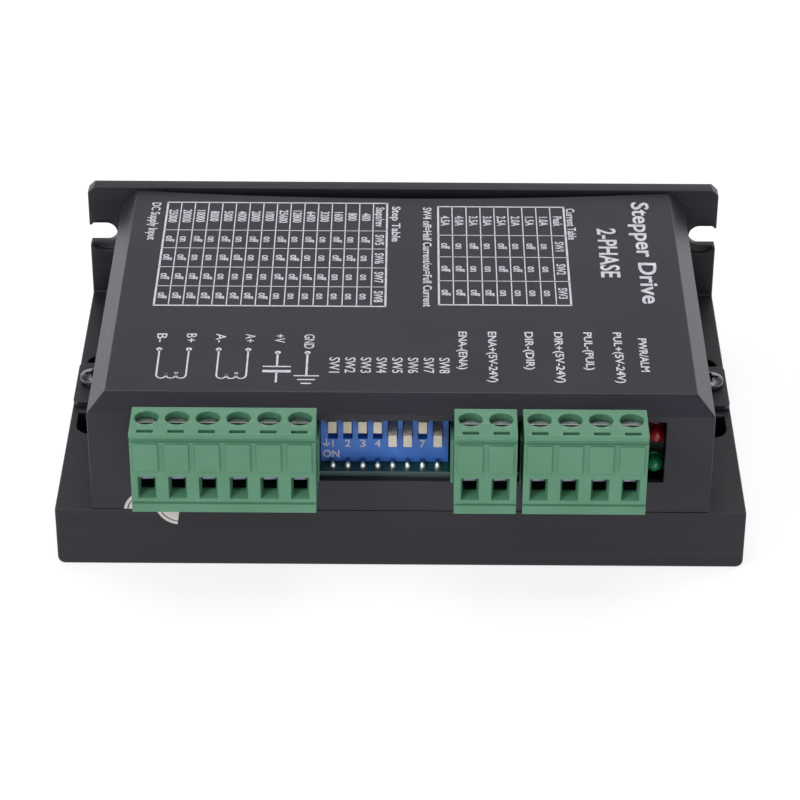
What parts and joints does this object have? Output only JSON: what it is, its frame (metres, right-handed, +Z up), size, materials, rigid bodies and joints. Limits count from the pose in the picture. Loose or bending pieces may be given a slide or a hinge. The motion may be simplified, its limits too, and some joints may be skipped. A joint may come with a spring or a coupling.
{
  "type": "stepper driver module",
  "caption": "Flat stepper motor driver: L-shaped heatsink, folded black cover, pluggable green terminal blocks, slide switch bank and status lamps.",
  "frame": {"origin": "centre of the heatsink's underside", "axes": "+Z up through the cover, +X along the width to the right seen from the connectors, +Y back towards the heatsink's wall; the connectors face -Y"},
  "size_m": [0.118, 0.0853, 0.034],
  "materials": {
    "anodised_black": "black anodised, satin",
    "painted_black": "black powder coat, fine texture, satin",
    "thermal_pad": "matt silicone",
    "black_epoxy": "moulded epoxy",
    "zinc_steel": "zinc plated",
    "black_zinc_steel": "black zinc plated",
    "brass_post": "turned",
    "board_green": "solder mask on glass laminate",
    "tinned_metal": "bright tin plate",
    "clamp_steel": "nickel plated",
    "terminal_green": "moulded nylon, satin",
    "switch_blue": "moulded, satin",
    "slider_cream": "moulded, satin",
    "black_plastic": "moulded, matt",
    "lamp_red": "tinted clear epoxy",
    "lamp_green": "tinted clear epoxy",
    "capacitor_sleeve": "shrink sleeve"
  },
  "bodies": {
    "frame": {"heatsink": "anodised_black", "thermal_pad": "thermal_pad", "power_transistors": "black_epoxy", "transistor_screws": "zinc_steel", "board_posts": "brass_post", "board_screws": "zinc_steel", "circuit_board": "board_green", "header_pins": "tinned_metal", "switch_body": "switch_blue", "switch_pins": "tinned_metal", "lamp_holder": "black_plastic", "red_lamp": "lamp_red", "green_lamp": "lamp_green", "bulk_capacitors": "capacitor_sleeve", "logic_chips": "black_epoxy", "sense_resistors": "black_epoxy", "cover": "painted_black", "cover_screws": "black_zinc_steel", "motor_header": "terminal_green", "enable_header": "terminal_green", "signal_header": "terminal_green"},
    "motor_plug": {"motor_plug": "terminal_green", "motor_contacts": "tinned_metal"},
    "motor_clamp_screw_1": {"motor_clamp_screw_1": "zinc_steel"},
    "motor_clamp_cage_1": {"motor_clamp_cage_1": "clamp_steel"},
    "motor_clamp_screw_2": {"motor_clamp_screw_2": "zinc_steel"},
    "motor_clamp_cage_2": {"motor_clamp_cage_2": "clamp_steel"},
    "motor_clamp_screw_3": {"motor_clamp_screw_3": "zinc_steel"},
    "motor_clamp_cage_3": {"motor_clamp_cage_3": "clamp_steel"},
    "motor_clamp_screw_4": {"motor_clamp_screw_4": "zinc_steel"},
    "motor_clamp_cage_4": {"motor_clamp_cage_4": "clamp_steel"},
    "motor_clamp_screw_5": {"motor_clamp_screw_5": "zinc_steel"},
    "motor_clamp_cage_5": {"motor_clamp_cage_5": "clamp_steel"},
    "motor_clamp_screw_6": {"motor_clamp_screw_6": "zinc_steel"},
    "motor_clamp_cage_6": {"motor_clamp_cage_6": "clamp_steel"},
    "enable_plug": {"enable_plug": "terminal_green", "enable_contacts": "tinned_metal"},
    "enable_clamp_screw_1": {"enable_clamp_screw_1": "zinc_steel"},
    "enable_clamp_cage_1": {"enable_clamp_cage_1": "clamp_steel"},
    "enable_clamp_screw_2": {"enable_clamp_screw_2": "zinc_steel"},
    "enable_clamp_cage_2": {"enable_clamp_cage_2": "clamp_steel"},
    "signal_plug": {"signal_plug": "terminal_green", "signal_contacts": "tinned_metal"},
    "signal_clamp_screw_1": {"signal_clamp_screw_1": "zinc_steel"},
    "signal_clamp_cage_1": {"signal_clamp_cage_1": "clamp_steel"},
    "signal_clamp_screw_2": {"signal_clamp_screw_2": "zinc_steel"},
    "signal_clamp_cage_2": {"signal_clamp_cage_2": "clamp_steel"},
    "signal_clamp_screw_3": {"signal_clamp_screw_3": "zinc_steel"},
    "signal_clamp_cage_3": {"signal_clamp_cage_3": "clamp_steel"},
    "signal_clamp_screw_4": {"signal_clamp_screw_4": "zinc_steel"},
    "signal_clamp_cage_4": {"signal_clamp_cage_4": "clamp_steel"},
    "switch_slider_1": {"switch_slider_1": "slider_cream"},
    "switch_slider_2": {"switch_slider_2": "slider_cream"},
    "switch_slider_3": {"switch_slider_3": "slider_cream"},
    "switch_slider_4": {"switch_slider_4": "slider_cream"},
    "switch_slider_5": {"switch_slider_5": "slider_cream"},
    "switch_slider_6": {"switch_slider_6": "slider_cream"},
    "switch_slider_7": {"switch_slider_7": "slider_cream"},
    "switch_slider_8": {"switch_slider_8": "slider_cream"}
  },
  "joints": [
    {"name": "motor_plug_pull", "type": "slide", "parent": "frame", "child": "motor_plug", "axis": [0, -1, 0], "range_m": [0, 0.012]},
    {"name": "motor_clamp_screw_1_turn", "type": "hinge", "parent": "motor_plug", "child": "motor_clamp_screw_1", "pos_m": [-0.04203, -0.0426, 0.03], "axis": [0, 0, -1], "range_deg": [0, 1802]},
    {"name": "motor_clamp_cage_1_rise", "type": "slide", "parent": "motor_plug", "child": "motor_clamp_cage_1", "axis": [0, 0, 1], "range_m": [0, 0.0025]},
    {"name": "motor_clamp_screw_2_turn", "type": "hinge", "parent": "motor_plug", "child": "motor_clamp_screw_2", "pos_m": [-0.03695, -0.0426, 0.03], "axis": [0, 0, -1], "range_deg": [0, 1802]},
    {"name": "motor_clamp_cage_2_rise", "type": "slide", "parent": "motor_plug", "child": "motor_clamp_cage_2", "axis": [0, 0, 1], "range_m": [0, 0.0025]},
    {"name": "motor_clamp_screw_3_turn", "type": "hinge", "parent": "motor_plug", "child": "motor_clamp_screw_3", "pos_m": [-0.03187, -0.0426, 0.03], "axis": [0, 0, -1], "range_deg": [0, 1802]},
    {"name": "motor_clamp_cage_3_rise", "type": "slide", "parent": "motor_plug", "child": "motor_clamp_cage_3", "axis": [0, 0, 1], "range_m": [0, 0.0025]},
    {"name": "motor_clamp_screw_4_turn", "type": "hinge", "parent": "motor_plug", "child": "motor_clamp_screw_4", "pos_m": [-0.02679, -0.0426, 0.03], "axis": [0, 0, -1], "range_deg": [0, 1802]},
    {"name": "motor_clamp_cage_4_rise", "type": "slide", "parent": "motor_plug", "child": "motor_clamp_cage_4", "axis": [0, 0, 1], "range_m": [0, 0.0025]},
    {"name": "motor_clamp_screw_5_turn", "type": "hinge", "parent": "motor_plug", "child": "motor_clamp_screw_5", "pos_m": [-0.02171, -0.0426, 0.03], "axis": [0, 0, -1], "range_deg": [0, 1802]},
    {"name": "motor_clamp_cage_5_rise", "type": "slide", "parent": "motor_plug", "child": "motor_clamp_cage_5", "axis": [0, 0, 1], "range_m": [0, 0.0025]},
    {"name": "motor_clamp_screw_6_turn", "type": "hinge", "parent": "motor_plug", "child": "motor_clamp_screw_6", "pos_m": [-0.01663, -0.0426, 0.03], "axis": [0, 0, -1], "range_deg": [0, 1802]},
    {"name": "motor_clamp_cage_6_rise", "type": "slide", "parent": "motor_plug", "child": "motor_clamp_cage_6", "axis": [0, 0, 1], "range_m": [0, 0.0025]},
    {"name": "enable_plug_pull", "type": "slide", "parent": "frame", "child": "enable_plug", "axis": [0, -1, 0], "range_m": [0, 0.012]},
    {"name": "enable_clamp_screw_1_turn", "type": "hinge", "parent": "enable_plug", "child": "enable_clamp_screw_1", "pos_m": [0.01153, -0.0426, 0.03], "axis": [0, 0, -1], "range_deg": [0, 1802]},
    {"name": "enable_clamp_cage_1_rise", "type": "slide", "parent": "enable_plug", "child": "enable_clamp_cage_1", "axis": [0, 0, 1], "range_m": [0, 0.0025]},
    {"name": "enable_clamp_screw_2_turn", "type": "hinge", "parent": "enable_plug", "child": "enable_clamp_screw_2", "pos_m": [0.01661, -0.0426, 0.03], "axis": [0, 0, -1], "range_deg": [0, 1802]},
    {"name": "enable_clamp_cage_2_rise", "type": "slide", "parent": "enable_plug", "child": "enable_clamp_cage_2", "axis": [0, 0, 1], "range_m": [0, 0.0025]},
    {"name": "signal_plug_pull", "type": "slide", "parent": "frame", "child": "signal_plug", "axis": [0, -1, 0], "range_m": [0, 0.012]},
    {"name": "signal_clamp_screw_1_turn", "type": "hinge", "parent": "signal_plug", "child": "signal_clamp_screw_1", "pos_m": [0.02294, -0.0426, 0.03], "axis": [0, 0, -1], "range_deg": [0, 1802]},
    {"name": "signal_clamp_cage_1_rise", "type": "slide", "parent": "signal_plug", "child": "signal_clamp_cage_1", "axis": [0, 0, 1], "range_m": [0, 0.0025]},
    {"name": "signal_clamp_screw_2_turn", "type": "hinge", "parent": "signal_plug", "child": "signal_clamp_screw_2", "pos_m": [0.02802, -0.0426, 0.03], "axis": [0, 0, -1], "range_deg": [0, 1802]},
    {"name": "signal_clamp_cage_2_rise", "type": "slide", "parent": "signal_plug", "child": "signal_clamp_cage_2", "axis": [0, 0, 1], "range_m": [0, 0.0025]},
    {"name": "signal_clamp_screw_3_turn", "type": "hinge", "parent": "signal_plug", "child": "signal_clamp_screw_3", "pos_m": [0.0331, -0.0426, 0.03], "axis": [0, 0, -1], "range_deg": [0, 1802]},
    {"name": "signal_clamp_cage_3_rise", "type": "slide", "parent": "signal_plug", "child": "signal_clamp_cage_3", "axis": [0, 0, 1], "range_m": [0, 0.0025]},
    {"name": "signal_clamp_screw_4_turn", "type": "hinge", "parent": "signal_plug", "child": "signal_clamp_screw_4", "pos_m": [0.03818, -0.0426, 0.03], "axis": [0, 0, -1], "range_deg": [0, 1802]},
    {"name": "signal_clamp_cage_4_rise", "type": "slide", "parent": "signal_plug", "child": "signal_clamp_cage_4", "axis": [0, 0, 1], "range_m": [0, 0.0025]},
    {"name": "switch_slider_1_travel", "type": "slide", "parent": "frame", "child": "switch_slider_1", "axis": [0, 0, 1], "range_m": [-0.0027, 0]},
    {"name": "switch_slider_2_travel", "type": "slide", "parent": "frame", "child": "switch_slider_2", "axis": [0, 0, 1], "range_m": [-0.0027, 0]},
    {"name": "switch_slider_3_travel", "type": "slide", "parent": "frame", "child": "switch_slider_3", "axis": [0, 0, 1], "range_m": [-0.0027, 0]},
    {"name": "switch_slider_4_travel", "type": "slide", "parent": "frame", "child": "switch_slider_4", "axis": [0, 0, 1], "range_m": [-0.0027, 0]},
    {"name": "switch_slider_5_travel", "type": "slide", "parent": "frame", "child": "switch_slider_5", "axis": [0, 0, 1], "range_m": [0, 0.0027]},
    {"name": "switch_slider_6_travel", "type": "slide", "parent": "frame", "child": "switch_slider_6", "axis": [0, 0, 1], "range_m": [0, 0.0027]},
    {"name": "switch_slider_7_travel", "type": "slide", "parent": "frame", "child": "switch_slider_7", "axis": [0, 0, 1], "range_m": [-0.0027, 0]},
    {"name": "switch_slider_8_travel", "type": "slide", "parent": "frame", "child": "switch_slider_8", "axis": [0, 0, 1], "range_m": [0, 0.0027]}
  ],
  "couplings": [
    {"joint": "motor_clamp_screw_1_turn", "follows": "motor_clamp_cage_1_rise", "rad_per_m": 12566},
    {"joint": "motor_clamp_screw_2_turn", "follows": "motor_clamp_cage_2_rise", "rad_per_m": 12566},
    {"joint": "motor_clamp_screw_3_turn", "follows": "motor_clamp_cage_3_rise", "rad_per_m": 12566},
    {"joint": "motor_clamp_screw_4_turn", "follows": "motor_clamp_cage_4_rise", "rad_per_m": 12566},
    {"joint": "motor_clamp_screw_5_turn", "follows": "motor_clamp_cage_5_rise", "rad_per_m": 12566},
    {"joint": "motor_clamp_screw_6_turn", "follows": "motor_clamp_cage_6_rise", "rad_per_m": 12566},
    {"joint": "enable_clamp_screw_1_turn", "follows": "enable_clamp_cage_1_rise", "rad_per_m": 12566},
    {"joint": "enable_clamp_screw_2_turn", "follows": "enable_clamp_cage_2_rise", "rad_per_m": 12566},
    {"joint": "signal_clamp_screw_1_turn", "follows": "signal_clamp_cage_1_rise", "rad_per_m": 12566},
    {"joint": "signal_clamp_screw_2_turn", "follows": "signal_clamp_cage_2_rise", "rad_per_m": 12566},
    {"joint": "signal_clamp_screw_3_turn", "follows": "signal_clamp_cage_3_rise", "rad_per_m": 12566},
    {"joint": "signal_clamp_screw_4_turn", "follows": "signal_clamp_cage_4_rise", "rad_per_m": 12566}
  ]
}
